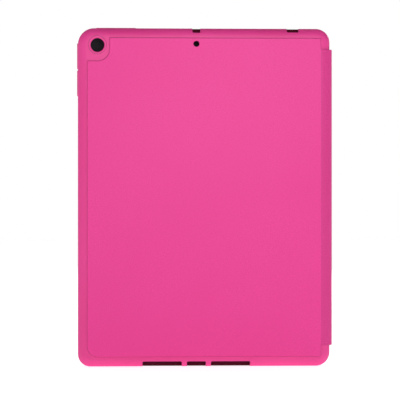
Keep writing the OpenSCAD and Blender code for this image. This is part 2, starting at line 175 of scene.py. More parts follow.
def grain_noise(tree: bpy.types.NodeTree, size: float, detail: float, roughness: float = 0.5) -> bpy.types.NodeSocket:
    """Add a noise over Object coordinates.

    Args:
        tree: The material's node tree.
        size: The width of one patch, in metres.
        detail: How many finer layers it has.
        roughness: How strong the finer layers are.

    Returns:
        The noise's value, from 0 to 1.
    """
    place = add_node(tree, "ShaderNodeTexCoord")
    noise = add_node(tree, "ShaderNodeTexNoise", {
        "Vector": place.outputs["Object"], "Scale": 1 / size, "Detail": detail, "Roughness": roughness})
    return noise.outputs["Factor"] if "Factor" in noise.outputs else noise.outputs["Fac"]


def blend_colours(tree: bpy.types.NodeTree, share: bpy.types.NodeSocket, first: Colour | bpy.types.NodeSocket,
                  second: Colour | bpy.types.NodeSocket, low: float = 0.35,
                  high: float = 0.65) -> bpy.types.NodeSocket:
    """Mix two colours as a pattern's value goes from low to high.

    Args:
        tree: The material's node tree.
        share: The pattern's value.
        first: Colour or socket below low.
        second: Colour or socket above high.
        low: Value at which the first colour starts to give way.
        high: Value at which the second colour is reached.

    Returns:
        The mixed colour.
    """
    ramp = add_node(tree, "ShaderNodeMapRange", {
        "Value": share, "From Min": low, "From Max": high}, interpolation_type="SMOOTHSTEP")
    mix = add_node(tree, "ShaderNodeMix", {0: ramp.outputs["Result"], 6: first, 7: second}, data_type="RGBA")
    return mix.outputs[2]


def ranged(tree: bpy.types.NodeTree, value: bpy.types.NodeSocket, low: float, high: float) -> bpy.types.NodeSocket:
    """Spread a 0 to 1 pattern over low to high."""
    node = add_node(tree, "ShaderNodeMapRange", {"Value": value, "To Min": low, "To Max": high})
    return node.outputs["Result"]


def bumped(tree: bpy.types.NodeTree, layers: list[tuple[bpy.types.NodeSocket, float]]) -> bpy.types.NodeSocket:
    """Stack bumps on one another.

    Args:
        tree: The material's node tree.
        layers: Each pattern with its height in metres, the broadest first.

    Returns:
        The normal after the last bump.
    """
    normal: Inputs = {}
    for height, depth in layers:
        bump = add_node(tree, "ShaderNodeBump", {"Height": height, "Distance": depth, "Strength": 1.0, **normal})
        normal = {"Normal": bump.outputs["Normal"]}
    return normal["Normal"]


def output_surface(tree: bpy.types.NodeTree, inputs: Inputs) -> None:
    """Finish a material with a Principled shader that takes these inputs."""
    shader = add_node(tree, "ShaderNodeBsdfPrincipled", inputs)
    add_node(tree, "ShaderNodeOutputMaterial", {"Surface": shader.outputs["BSDF"]})


# Finishes

@dataclass(frozen=True)
class MouldedTpu:
    """Thermoplastic polyurethane, moulded in a spark-eroded tool.

    The tool leaves an even, very fine matt texture, so highlights are broad and soft. The thick elastomer's colour
    is set a little deeper than the leather beside it: painted shade, for the shade on the tray's rounded shoulder.
    """

    colour: str = "#e74292"
    shade: str = "#e23d8c"
    deep: str = "#5a0626"  # deep pink, painted shade for narrow slots, gaps and recesses
    texture: float = 0.55 * MM  # the real texture is about 0.15 mm, too fine to show, so it is drawn coarser
    texture_height: float = 0.012 * MM
    cloud: float = 70 * MM
    ripple: float = 9 * MM
    ripple_height: float = 0.02 * MM
    recess: float = 9 * MM
    recess_share: tuple[float, float] = (0.35, 0.9)
    roughness: tuple[float, float] = (0.40, 0.52)
    slot_depth: tuple[float, float] = (0.5 * MM, 1.5 * MM)
    slot_facing: tuple[float, float] = (-0.7, -0.95)

    @cache
    def material(self) -> bpy.types.Material:
        """Build the material once.

        Returns:
            The material.
        """
        material = new_material("moulded_tpu")
        tree = material.node_tree
        cloud = grain_noise(tree, self.cloud, 2)
        pits = grain_noise(tree, self.texture, 3, 0.6)
        ripple = grain_noise(tree, self.ripple, 1)
        tone = blend_colours(tree, cloud, linear(self.shade), linear(self.colour))
        # Painted shade: the colour darkens towards the deep pink wherever other surfaces are near, by ambient
        # occlusion.
        open_sky = add_node(tree, "ShaderNodeAmbientOcclusion", {"Distance": self.recess}, samples=6,
                            only_local=True)
        shaded = blend_colours(tree, open_sky.outputs["AO"], linear(self.deep), tone, *self.recess_share)
        inside = self.shaded_slot_ends(tree)
        # Painted shade: backward faces deep in the slots are made fully rough here and coloured deep pink below.
        roughness_with_slot_shade = add_node(tree, "ShaderNodeMath", {
            0: ranged(tree, pits, *self.roughness), 1: inside}, operation="MAXIMUM")
        output_surface(tree, {
            "Base Color": blend_colours(tree, inside, shaded, linear(self.deep), 0.2, 0.8),
            "Roughness": roughness_with_slot_shade.outputs["Value"],
            "IOR": 1.5,
            "Specular IOR Level": 0.35,
            "Normal": bumped(tree, [(ripple, self.ripple_height), (pits, self.texture_height)]),
        })
        return material

    def shaded_slot_ends(self, tree: bpy.types.NodeTree) -> bpy.types.NodeSocket:
        """Mark the faces deep inside the slots that face backwards, where shade is painted.

        Args:
            tree: The material's node tree.

        Returns:
            One on such a face, and zero elsewhere.
        """
        place = add_node(tree, "ShaderNodeTexCoord")
        spot = add_node(tree, "ShaderNodeSeparateXYZ", {"Vector": place.outputs["Object"]})
        facing = add_node(tree, "ShaderNodeSeparateXYZ", {"Vector": place.outputs["Normal"]})
        deep = add_node(tree, "ShaderNodeMapRange", {
            "Value": spot.outputs["Y"], "From Min": self.slot_depth[0], "From Max": self.slot_depth[1]})
        back = add_node(tree, "ShaderNodeMapRange", {
            "Value": facing.outputs["Y"], "From Min": self.slot_facing[0], "From Max": self.slot_facing[1]})
        both = add_node(tree, "ShaderNodeMath", {
            0: deep.outputs["Result"], 1: back.outputs["Result"]}, operation="MULTIPLY")
        return both.outputs["Value"]


@dataclass(frozen=True)
class EmbossedLeather:
    """Polyurethane leather, cast on a knitted backing and embossed by a roller.

    The roller leaves small round pebbles with slightly deeper colour in the valleys, and a satin top coat
    spreads the studio light into a wide soft sheen. Pebbles are 0.5 to 0.8 mm on such leather.
    """

    name: str = "embossed_polyurethane_leather"
    colour: str = "#ed439a"
    shade: str = "#ea3f95"
    valley: str = "#e63c91"
    pebble: float = 0.65 * MM
    pebble_height: float = 0.014 * MM
    pebble_reach: tuple[float, float] = (0.15, 0.62)  # where a pebble starts to fall, and where its valley is
    cloud: float = 85 * MM
    ripple: float = 14 * MM
    ripple_height: float = 0.03 * MM
    roughness: tuple[float, float] = (0.50, 0.40)

    @cache
    def material(self) -> bpy.types.Material:
        """Build the material once.

        Returns:
            The material.
        """
        material = new_material(self.name)
        tree = material.node_tree
        place = add_node(tree, "ShaderNodeTexCoord")
        stray = add_node(tree, "ShaderNodeTexNoise", {
            "Vector": place.outputs["Object"], "Scale": 1 / (2 * self.pebble), "Detail": 1.0})
        shift = add_node(tree, "ShaderNodeVectorMath", {
            0: stray.outputs["Color"], 1: (self.pebble,) * 3, 2: place.outputs["Object"]}, operation="MULTIPLY_ADD")
        pebbles = add_node(tree, "ShaderNodeTexVoronoi", {
            "Vector": shift.outputs["Vector"], "Scale": 1 / self.pebble, "Smoothness": 0.4}, feature="SMOOTH_F1")
        dome = add_node(tree, "ShaderNodeMapRange", {
            "Value": pebbles.outputs["Distance"], "From Min": self.pebble_reach[0],
            "From Max": self.pebble_reach[1], "To Min": 1.0, "To Max": 0.0},
            interpolation_type="SMOOTHSTEP").outputs["Result"]
        cloud = grain_noise(tree, self.cloud, 2)
        tone = blend_colours(tree, cloud, linear(self.shade), linear(self.colour))
        output_surface(tree, {
            "Base Color": blend_colours(tree, dome, linear(self.valley), tone, 0.0, 0.5),
            "Roughness": ranged(tree, dome, *self.roughness),
            "IOR": 1.48,
            "Specular IOR Level": 0.3,
            "Normal": bumped(tree, [
                (grain_noise(tree, self.ripple, 1), self.ripple_height), (dome, self.pebble_height)]),
        })
        return material


@dataclass(frozen=True)
class EdgePaintAndShade:
    """Acrylic edge paint, rolled on the leather's cut edge.

    It is a deeper pink than the face and a little glossier, so each cut edge reads as a thin dark line; the
    deeper pink is partly painted shade, for the shade in the crevice along each cut edge.
    """

    # deeper pink: edge paint, and painted shade for the crevice at each cut edge
    colour: str = "#a01c5a"
    thin: str = "#ab2563"
    streak: float = 1.2 * MM
    streak_height: float = 0.02 * MM

    @cache
    def material(self) -> bpy.types.Material:
        """Build the material once.

        Returns:
            The material.
        """
        material = new_material("edge_paint_and_painted_shade")
        tree = material.node_tree
        streaks = grain_noise(tree, self.streak, 2)
        output_surface(tree, {
            "Base Color": blend_colours(tree, streaks, linear(self.colour), linear(self.thin)),
            "Roughness": ranged(tree, streaks, 0.30, 0.45),
            "IOR": 1.49,
            "Normal": bumped(tree, [(streaks, self.streak_height)]),
        })
        return material


@dataclass(frozen=True)
class MicrofibreSuede:
    """Microfibre suede, knitted and then sanded to raise a nap.

    The nap scatters light at grazing angles, so it is nearly black face on, paler along its edges and cloudy
    where it has been stroked.
    """

    colour: str = "#302b33"
    stroked: str = "#383239"
    root: str = "#252128"
    nap: float = 0.5 * MM  # single fibres are too fine to show, so small tufts are drawn
    nap_height: float = 0.05 * MM
    stroke: float = 26 * MM

    @cache
    def material(self) -> bpy.types.Material:
        """Build the material once.

        Returns:
            The material.
        """
        material = new_material("sanded_microfibre_suede")
        tree = material.node_tree
        strokes = grain_noise(tree, self.stroke, 3)
        fibres = grain_noise(tree, self.nap, 3, 0.7)
        tone = blend_colours(tree, strokes, linear(self.colour), linear(self.stroked), 0.4, 0.6)
        output_surface(tree, {
            "Base Color": blend_colours(tree, fibres, linear(self.root), tone),
            "Roughness": ranged(tree, strokes, 0.88, 0.98),
            "IOR": 1.45,
            "Sheen Weight": 0.22,
            "Sheen Roughness": 0.45,
            "Normal": bumped(tree, [(fibres, self.nap_height)]),
        })
        return material


@dataclass(frozen=True)
class GreyFibreboard:
    """Recycled fibreboard, rolled flat: matt grey with short paler and darker fibres."""

    colour: str = "#bdb8ae"
    fibre: str = "#9c968c"
    fibre_size: float = 1.1 * MM
    fibre_height: float = 0.04 * MM

    @cache
    def material(self) -> bpy.types.Material:
        """Build the material once.

        Returns:
            The material.
        """
        material = new_material("rolled_fibreboard")
        tree = material.node_tree
        fibres = grain_noise(tree, self.fibre_size, 5, 0.7)
        output_surface(tree, {
            "Base Color": blend_colours(tree, fibres, linear(self.fibre), linear(self.colour)),
            "Roughness": ranged(tree, fibres, 0.82, 0.95),
            "IOR": 1.5,
            "Normal": bumped(tree, [(fibres, self.fibre_height)]),
        })
        return material


@dataclass(frozen=True)
class NickelPlate:
    """Bright nickel, plated on pressed steel: a pale warm grey with faint rolling lines along Z."""

    colour: str = "#bab8b2"
    line: str = "#aeaca6"
    line_width: float = 0.4 * MM  # the real lines are too fine to show, so they are drawn wider
    line_depth: float = 0.004 * MM
    stretch: float = 0.03  # how closely the pattern is packed along Z, against across

    @cache
    def material(self) -> bpy.types.Material:
        """Build the material once.

        Returns:
            The material.
        """
        material = new_material("nickel_plated_steel")
        tree = material.node_tree
        place = add_node(tree, "ShaderNodeTexCoord")
        along = add_node(tree, "ShaderNodeMapping", {
            "Vector": place.outputs["Object"], "Scale": (1.0, 1.0, self.stretch)})
        lines = add_node(tree, "ShaderNodeTexNoise", {
            "Vector": along.outputs["Vector"], "Scale": 1 / self.line_width, "Detail": 2.0}).outputs[0]
        output_surface(tree, {
            "Base Color": blend_colours(tree, lines, linear(self.line), linear(self.colour)),
            "Metallic": 1.0,
            "Roughness": ranged(tree, lines, 0.24, 0.36),
            "Normal": bumped(tree, [(lines, self.line_depth)]),
        })
        return material


LEATHER = EmbossedLeather()
# The same leather in a deeper pink for the spine and its hinges: painted shade, for the shade on the rounded spine.
SHADED_SPINE_LEATHER = EmbossedLeather("spine_leather_painted_shade", "#dd3e8f", "#da3b8a", "#d43886")
SUEDE = MicrofibreSuede()
EDGE = EdgePaintAndShade()
TPU = MouldedTpu()
BOARD = GreyFibreboard()
NICKEL = NickelPlate()


# Mesh work

def clear_selection() -> None:
    """Deselect every object."""
    bpy.ops.object.select_all(action="DESELECT")


class Piece:
    """A mesh under way, kept at the origin, unturned and unscaled."""

    def __init__(self, name: str, low: Vector, high: Vector) -> None:
        """Start from a block.

        Args:
            name: The piece's name.
            low: The block's lowest corner.
            high: Its highest corner.
        """
        clear_selection()
        bpy.ops.mesh.primitive_cube_add(size=1.0, location=(low + high) / 2, scale=high - low)
        self.obj = bpy.context.object
        self.obj.name = name
        self.obj.data.name = name
        bpy.ops.object.transform_apply(location=True, rotation=True, scale=True)

    @classmethod
    def upright_edge(cls, name: str, foot: Vector, top: Vector) -> "Piece":
        """Start a piece as one straight edge, to be extruded or spun into a strip.

        Args:
            name: The piece's name.
            foot: The edge's lower end.
            top: Its upper end.

        Returns:
            The piece.
        """
        piece = cls(name, foot, top + Vector((MM, MM, 0)))
        with piece.editing():
            piece.pick(Pick.VERT, lambda v: v.co.x > foot.x + TOUCH or v.co.y > foot.y + TOUCH)
            bpy.ops.mesh.delete(type="VERT")
        return piece

    def make_active(self) -> None:
        """Select this piece alone."""
        clear_selection()
        self.obj.select_set(True)
        bpy.context.view_layer.objects.active = self.obj

    @contextmanager
    def editing(self) -> Iterator[None]:
        """Hold the piece in edit mode.

        Returns:
            A context, which goes back to object mode at its end.
        """
        self.make_active()
        bpy.ops.object.mode_set(mode="EDIT")
        yield
        bpy.ops.object.mode_set(mode="OBJECT")

    def pick(self, kind: Pick, wanted: Callable[[Any], bool]) -> int:
        """Select vertices, edges or faces in edit mode.

        Args:
            kind: What to select.
            wanted: Says whether an element is selected.

        Returns:
            How many were selected.
        """
        bpy.ops.mesh.select_mode(type=kind.value)
        bpy.ops.mesh.select_all(action="DESELECT")
        mesh = bmesh.from_edit_mesh(self.obj.data)
        elements = {Pick.VERT: mesh.verts, Pick.EDGE: mesh.edges, Pick.FACE: mesh.faces}[kind]
        mesh.normal_update()
        chosen = [e for e in elements if wanted(e)]
        for element in chosen:
            element.select_set(True)
        mesh.select_flush_mode()
        bmesh.update_edit_mesh(self.obj.data)
        return len(chosen)

    def round_edges(self, wanted: Callable[[bmesh.types.BMEdge], bool], width: float, segments: int) -> None:
        """Bevel edges to a round.

        Args:
            wanted: Says whether an edge is rounded.
            width: How wide the round is.
            segments: How many faces it has.
        """
        with self.editing():
            if self.pick(Pick.EDGE, wanted):
                bpy.ops.mesh.bevel(offset=width, segments=segments, profile=0.5, affect="EDGES")

    def round_corners(self, low: Vector, high: Vector, radii: tuple[float, float, float, float]) -> None:
        """Round the four edges that run along Y.

        Args:
            low: The block's lowest corner.
            high: Its highest corner.
            radii: Bottom free side, bottom spine side, top spine side and top free side. Zero leaves it sharp.
        """
        corners = [(low.x, low.z), (high.x, low.z), (high.x, high.z), (low.x, high.z)]
        broad, fine_segments, broad_segments = 2 * MM, 4, 10
        for (x, z), radius in zip(corners, radii):
            if radius:
                self.round_edges(lambda e: runs_along_y(e, x, z), radius,
                                 broad_segments if radius > broad else fine_segments)

    def split_at_height(self, *heights: float) -> None:
        """Add a ring of edges round the piece at each height.

        Args:
            heights: The heights.
        """
        for height in heights:
            with self.editing():
                bpy.ops.mesh.select_all(action="SELECT")
                bpy.ops.mesh.bisect(plane_co=(0, 0, height), plane_no=(0, 0, 1))

    def extrude_by(self, step: Vector) -> None:
        """Extrude the last edge, which is still selected, by one step. Edit mode only."""
        bpy.ops.mesh.extrude_edges_move(TRANSFORM_OT_translate={"value": tuple(step)})

    def spin_about(self, centre: Vector, degrees: float, steps: int) -> None:
        """Spin the last edge, which is still selected, anticlockwise from above. Edit mode only."""
        bpy.ops.mesh.spin(steps=steps, angle=math.radians(degrees), center=tuple(centre), axis=(0, 0, -1))

    def face_away_from(self, point: Vector) -> None:
        """Merge doubles, and turn every face of an open sheet away from a point.

        Args:
            point: A point on the sheet's hollow or inner side.
        """
        with self.editing():
            bpy.ops.mesh.select_all(action="SELECT")
            bpy.ops.mesh.remove_doubles(threshold=TOUCH)
            bpy.ops.mesh.normals_make_consistent(inside=False)
            mesh = bmesh.from_edit_mesh(self.obj.data)
            mesh.normal_update()
            if sum(f.normal.dot(f.calc_center_median() - point) * f.calc_area() for f in mesh.faces) < 0:
                bpy.ops.mesh.flip_normals()

    def thicken(self, wall: float) -> None:
        """Give an open shell its wall, inwards."""
        self.apply("SOLIDIFY", thickness=wall, offset=-1.0, use_even_offset=True)

    def cut_away(self, cutter: "Piece") -> None:
        """Cut another piece's shape out of this one, and delete the other."""
        self.apply("BOOLEAN", object=cutter.obj, operation="DIFFERENCE", solver="EXACT")
        bpy.data.objects.remove(cutter.obj)

    def apply(self, kind: str, **settings: Any) -> None:
        """Add one modifier and apply it.

        Args:
            kind: The modifier's Blender type name.
            settings: Its own properties.
        """
        self.make_active()
        modifier = self.obj.modifiers.new(kind.title(), kind)
        for name, value in settings.items():
            setattr(modifier, name, value)
        bpy.ops.object.modifier_apply(modifier=modifier.name)

    def smooth(self) -> None:
        """Shade curved runs smooth, and keep flat faces flat."""
        self.make_active()
        bpy.ops.object.shade_smooth_by_angle(angle=SMOOTH_TURN)
        self.apply("WEIGHTED_NORMAL", mode="FACE_AREA", weight=50, keep_sharp=True)

    def dress(self, *materials: bpy.types.Material) -> None:
        """Give the piece its material slots.

        Args:
            materials: The materials in order. Every face starts with the first.
        """
        self.obj.data.materials.clear()
        for material in materials:
            self.obj.data.materials.append(material)

    def paint_faces(self, wanted: Callable[[bmesh.types.BMFace], bool], slot_index: int) -> None:
        """Put faces in another of the piece's material slots.

        Args:
            wanted: Says whether a face is painted.
            slot_index: The slot's place in the order given to dress.
        """
        with self.editing():
            self.pick(Pick.FACE, wanted)
            self.obj.active_material_index = slot_index
            bpy.ops.object.material_slot_assign()

    def report(self) -> None:
        """Log the piece's name and face count."""
        LOG.info("%s: %d faces", self.obj.name, len(self.obj.data.polygons))


def runs_along_y(edge: bmesh.types.BMEdge, x: float, z: float) -> bool:
    """Say whether an edge runs along Y through a place in X and Z."""
    return all(abs(v.co.x - x) < TOUCH and abs(v.co.z - z) < TOUCH for v in edge.verts)


def is_corner(edge: bmesh.types.BMEdge) -> bool:
    """Say whether two faces meet at an edge and turn a corner there."""
    return len(edge.link_faces) == 2 and edge.calc_face_angle() > CORNER_TURN


def is_rim(edge: bmesh.types.BMEdge, level: float) -> bool:
    """Say whether an edge lies at a Y level and turns a corner there."""
    return all(abs(v.co.y - level) < TOUCH for v in edge.verts) and is_corner(edge)


def is_end_edge(edge: bmesh.types.BMEdge, low: float, high: float) -> bool:
    """Say whether an edge bounds a strip's bottom or top end."""
    at_end = any(all(abs(v.co.z - z) < TOUCH for v in edge.verts) for z in (low, high))
    return at_end and is_corner(edge)


# Parts of the case

@dataclass
class Tray:
    """The moulded tray with its pads, and the leather bonded to its back."""

    corner_radii: tuple[float, float, float, float] = (8 * MM, 0.6 * MM, 0.6 * MM, 0.6 * MM)
    edge_round: float = 0.45 * MM
    notch_radius: float = 9 * MM
    notch_corner: tuple[float, float] = (-72.1 * MM, 231.3 * MM)
    microphone: tuple[float, float] = (-6.45 * MM, 244.4 * MM)
    microphone_radius: float = 2.15 * MM
    cutter_reach: float = 10 * MM

    def build(self) -> None:
        """Dress the CAD nodes and build the back leather."""
        for node in ("tray_shell", "power_button", "volume_up_button", "volume_down_button"):
            dress_node(node, TPU.material())
        self.build_leather().report()

    def notch_cutter(self, low: Vector, high: Vector) -> Piece:
        """Make the block that opens the leather round the camera.

        Args:
            low: The leather's lowest corner.
            high: Its highest corner.

        Returns:
            The block.
        """
        x, z = self.notch_corner
        reach = self.cutter_reach
        near = Vector((low.x - reach, low.y - reach, z))
        far = Vector((x, high.y + reach, high.z + reach))
        cutter = Piece("notch_cutter", near, far)
        cutter.round_edges(lambda e: runs_along_y(e, x, z), self.notch_radius, 12)
        return cutter

    def microphone_cutter(self, low: Vector, high: Vector) -> Piece:
        """Make the round bar that pierces the leather for the microphone.

        Args:
            low: The leather's lowest corner.
            high: Its highest corner.

        Returns:
            The bar.
        """
        x, z = self.microphone
        r = self.microphone_radius
        reach = Vector((0, MM, 0))
        cutter = Piece("microphone_cutter", Vector((x - r, low.y, z - r)) - reach,
                       Vector((x + r, high.y, z + r)) + reach)
        cutter.round_edges(lambda e: abs(e.verts[0].co.y - e.verts[1].co.y) > MM, r - TOUCH, 8)
        return cutter

    def build_leather(self) -> Piece:
        """Build the sheet on the tray's back.

        Returns:
            The leather, flush with the hinge between the spine's ends and rounded everywhere else.
        """
        low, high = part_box("back_skin")
        hinge_low, hinge_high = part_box("back_hinge_skin")
        piece = Piece("back_leather", low, high)
        piece.round_corners(low, high, self.corner_radii)
        piece.cut_away(self.notch_cutter(low, high))
        piece.cut_away(self.microphone_cutter(low, high))
        piece.split_at_height(hinge_low.z, hinge_high.z)

        def is_open_rim(edge: bmesh.types.BMEdge) -> bool:
            """Say whether an edge is on the back's rim, away from the hinge.

            Args:
                edge: An edge of the leather.

            Returns:
                Whether it is rounded.
            """
            middle = (edge.verts[0].co + edge.verts[1].co) / 2
            at_hinge = abs(middle.x - high.x) < TOUCH and hinge_low.z < middle.z < hinge_high.z
            return is_rim(edge, low.y) and not at_hinge

        piece.round_edges(is_open_rim, self.edge_round, 3)
        piece.dress(LEATHER.material(), EDGE.material())
        piece.paint_faces(lambda f: -0.9 < f.normal.y < 0.9, 1)
        piece.smooth()
        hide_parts("back_skin")
        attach(piece.obj, Body.TRAY.value)
        return piece


@dataclass
class Hinge:
    """One flexible hinge: leather outside and suede inside, bent about upright axes."""

    name: str
    bodies: tuple[Body, Body]
    bends: list[tuple[Vector, float]]
    start: Vector
    end: Vector
    skin_wall: float = 0.45 * MM
    lining_wall: float = 0.3 * MM
    steps: int = 14
    end_round: float = 0.2 * MM

    def build(self) -> None:
        """Build both strips."""
        for layer, finish, slot in (("skin", SHADED_SPINE_LEATHER, Slot.LEATHER), ("lining", SUEDE, Slot.SUEDE)):
            self.build_strip(layer, finish.material(), slot).report()

    def build_strip(self, layer: str, material: bpy.types.Material, slot: Slot) -> Piece:
        """Spin one strip from its first edge.

        Args:
            layer: The CAD layer that the strip stands for.
            material: The strip's material.
            slot: Its material slot in the record.

        Returns:
            The finished strip.
        """
        node = f"{self.name}_{layer}"
        low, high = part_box(node)
        sink, wall = (0.0, self.skin_wall) if layer == "skin" else (self.skin_wall, self.lining_wall)
        inwards = (self.bends[0][0] - self.start).normalized()
        foot = self.start + inwards * sink
        piece = Piece.upright_edge(f"{self.name}_{STRIP_NAMES[layer]}", Vector((foot.x, foot.y, low.z)),
                                   Vector((foot.x, foot.y, high.z)))
        with piece.editing():
            bpy.ops.mesh.select_all(action="SELECT")
            for centre, degrees in self.bends:
                piece.spin_about(centre, degrees, self.steps)
        piece.face_away_from(Vector((self.bends[0][0].x, self.bends[0][0].y, (low.z + high.z) / 2)))
        piece.thicken(wall)
        piece.round_edges(lambda e: is_end_edge(e, low.z, high.z), min(self.end_round, wall / 3), 2)
        piece.dress(material, EDGE.material() if slot is Slot.LEATHER else material)
        piece.paint_faces(lambda f: abs(f.normal.z) > 0.3, 1)
        piece.smooth()
        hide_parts(node)
        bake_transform(piece.obj)
        return piece


@dataclass
class Spine:
    """The stiff spine: leather turned over the board's ends, and a suede facing towards the tray."""

    leather_wall: float = 0.4 * MM
    turned_round: float = 0.5 * MM
    facing_round: float = 0.12 * MM

    def build(self) -> None:
        """Build the leather, the facing and both hinges."""
        dress_node("spine_board", BOARD.material())
        self.build_leather().report()
        self.build_facing().report()
        for hinge in (self.back_hinge(), self.front_hinge()):
            hinge.build()

    def reach(self, node: str) -> tuple[Vector, Vector]:
        """Find a spine layer's corners, drawn out to meet the hinge strips on both sides.

        Args:
            node: The layer's CAD node.

        Returns:
            The lowest and the highest corner.
        """
        low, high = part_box(node)
        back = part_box("back_hinge_skin")[1].y
        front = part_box("front_hinge_skin")[0].y
        return Vector((low.x, back, low.z)), Vector((high.x, front, high.z))

    def build_leather(self) -> Piece:
        """Build the leather, with its ends turned in over the board.

        Returns:
            The leather.
        """
        low, high = self.reach("spine_skin")
        piece = Piece("spine_leather", low, high)
        with piece.editing():
            piece.pick(Pick.FACE, lambda f: abs(f.normal.y) > 0.9 or f.normal.x < -0.9)
            bpy.ops.mesh.delete(type="FACE")
        piece.round_edges(lambda e: len(e.link_faces) == 2, self.turned_round, 4)
        piece.thicken(self.leather_wall)
        piece.dress(SHADED_SPINE_LEATHER.material())
        piece.smooth()
        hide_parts("spine_skin")
        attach(piece.obj, Body.SPINE.value)
        return piece

    def build_facing(self) -> Piece:
        """Build the suede on the spine's inner side, with soft ends.

        Returns:
            The suede.
        """
        low, high = self.reach("spine_lining")
        piece = Piece("spine_suede", low, high)
        piece.round_edges(
            lambda e: is_end_edge(e, low.z, high.z) and all(v.co.x < low.x + TOUCH for v in e.verts),
            self.facing_round, 2)
        piece.dress(SUEDE.material())
        piece.smooth()
        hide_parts("spine_lining")
        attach(piece.obj, Body.SPINE.value)
        return piece

    def back_hinge(self) -> Hinge:
        """Work out the hinge from the back leather to the spine: a wide bend that runs into a tight one.

        Returns:
            The hinge.
        """
        low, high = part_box("back_hinge_skin")
        width, depth = high.x - low.x, high.y - low.y
        eighth = 45
        turn = math.sin(math.radians(eighth))
        wide = (width * turn - depth * (1 - turn)) / (2 * turn - 1)
        tight = (depth * turn - width * (1 - turn)) / (2 * turn - 1)
        return Hinge(
            "back_hinge", (Body.TRAY, Body.SPINE),
            [(Vector((low.x, low.y + wide, 0)), eighth), (Vector((high.x - tight, high.y, 0)), eighth)],
            Vector((low.x, low.y, 0)), Vector((high.x, high.y, 0)))

    def front_hinge(self) -> Hinge:
        """Work out the hinge from the spine to the cover: one quarter turn.

        Returns:
            The hinge.
        """
        low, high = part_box("front_hinge_skin")
        return Hinge(
            "front_hinge", (Body.SPINE, Body.INNER),
            [(Vector((low.x, low.y, 0)), 90)],
            Vector((high.x, low.y, 0)), Vector((low.x, high.y, 0)))


@dataclass
class Panel:
    """One stiff panel of the cover: wrapped leather, hemmed inside round a suede lining."""

    name: str
    body: Body
    folds: tuple[Side, ...]
    corner_radii: tuple[float, float, float, float]
    hem: float = 2.4 * MM
    hem_sink: float = 0.2 * MM
    leather_wall: float = 0.4 * MM
    edge_round: float = 0.7 * MM
    lining_gap: float = 0.05 * MM
    lining_round: float = 0.2 * MM
    least_corner: float = 0.6 * MM
    fittings: tuple[str, ...] = field(default_factory=tuple)

    def build(self) -> None:
        """Build the leather and lining, and dress the board and what it holds."""
        dress_node(f"{self.name}_board", BOARD.material())
        for node in self.fittings:
            dress_node(node, NICKEL.material())
        self.build_leather().report()
        self.build_lining().report()

    def ends_at_fold(self, x: float, low: Vector, high: Vector, margin: float = TOUCH) -> bool:
        """Say whether a place along X is within a margin of one of the panel's folds."""
        sides = {Side.FREE: low.x, Side.SPINE: high.x}
        return any(abs(x - sides[side]) < margin for side in self.folds)

    def build_leather(self) -> Piece:
        """Build the leather: an open box with round outer edges and a hem on each side that has no fold.

        Returns:
            The leather, flush with the front hinge where the panel meets it.
        """
        low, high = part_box(f"{self.name}_skin")
        low.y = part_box(f"{self.name}_lining")[0].y + self.hem_sink
        hinge_low, hinge_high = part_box("front_hinge_skin")
        meets_hinge = self.name == "inner"
        if meets_hinge:
            high.x = hinge_low.x
        piece = Piece(f"{self.name}_leather", low, high)
        piece.round_corners(low, high, self.corner_radii)
        with piece.editing():
            piece.pick(Pick.FACE, lambda f: f.normal.y < -0.9)
            bpy.ops.mesh.inset(thickness=self.hem, depth=0)

            def is_open(face: bmesh.types.BMFace) -> bool:
                """Say whether a face is the opening, or a hem along a fold.

                Args:
                    face: A face of the leather.

                Returns:
                    Whether it is taken out.
                """
                middle = face.calc_center_median()
                broad = face.calc_area() > (high.x - low.x) * (high.z - low.z) / 2
                return face.normal.y < -0.9 and (broad or self.ends_at_fold(middle.x, low, high, self.hem))

            piece.pick(Pick.FACE, is_open)
            bpy.ops.mesh.delete(type="FACE")
        if meets_hinge:
            piece.split_at_height(hinge_low.z, hinge_high.z)

        def is_open_rim(edge: bmesh.types.BMEdge) -> bool:
            """Say whether an edge is on the front's rim away from the hinge, or a corner at a fold.

            Args:
                edge: An edge of the leather.

            Returns:
                Whether it is rounded.
            """
            first, second = (v.co for v in edge.verts)
            middle = (first + second) / 2
            at_hinge = meets_hinge and abs(middle.x - high.x) < TOUCH and hinge_low.z < middle.z < hinge_high.z
            at_corner = abs(first.y - second.y) > MM and self.ends_at_fold(middle.x, low, high)
            return (is_rim(edge, high.y) and not at_hinge) or at_corner

        piece.round_edges(is_open_rim, self.edge_round, 4)
        piece.thicken(self.leather_wall)
        piece.dress(LEATHER.material())
        piece.smooth()
        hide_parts(f"{self.name}_skin")
        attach(piece.obj, self.body.value)
        return piece

    def build_lining(self) -> Piece:
        """Build the suede lining, inside the hems and right up to each fold.

        Returns:
            The suede.
        """
        low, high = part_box(f"{self.name}_lining")
        inset = self.hem + self.lining_gap
        low.z += inset
        high.z -= inset
        low.x += 0 if Side.FREE in self.folds else inset
        high.x -= 0 if Side.SPINE in self.folds else inset
        piece = Piece(f"{self.name}_suede", low, high)
        radii = tuple(max(r - inset, self.least_corner) if r else 0 for r in self.corner_radii)
        piece.round_corners(low, high, radii)
        piece.round_edges(
            lambda e: is_rim(e, low.y) and not all(self.ends_at_fold(v.co.x, low, high) for v in e.verts),
            self.lining_round, 3)
        piece.dress(SUEDE.material())
        piece.smooth()
        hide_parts(f"{self.name}_lining")
        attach(piece.obj, self.body.value)
        return piece


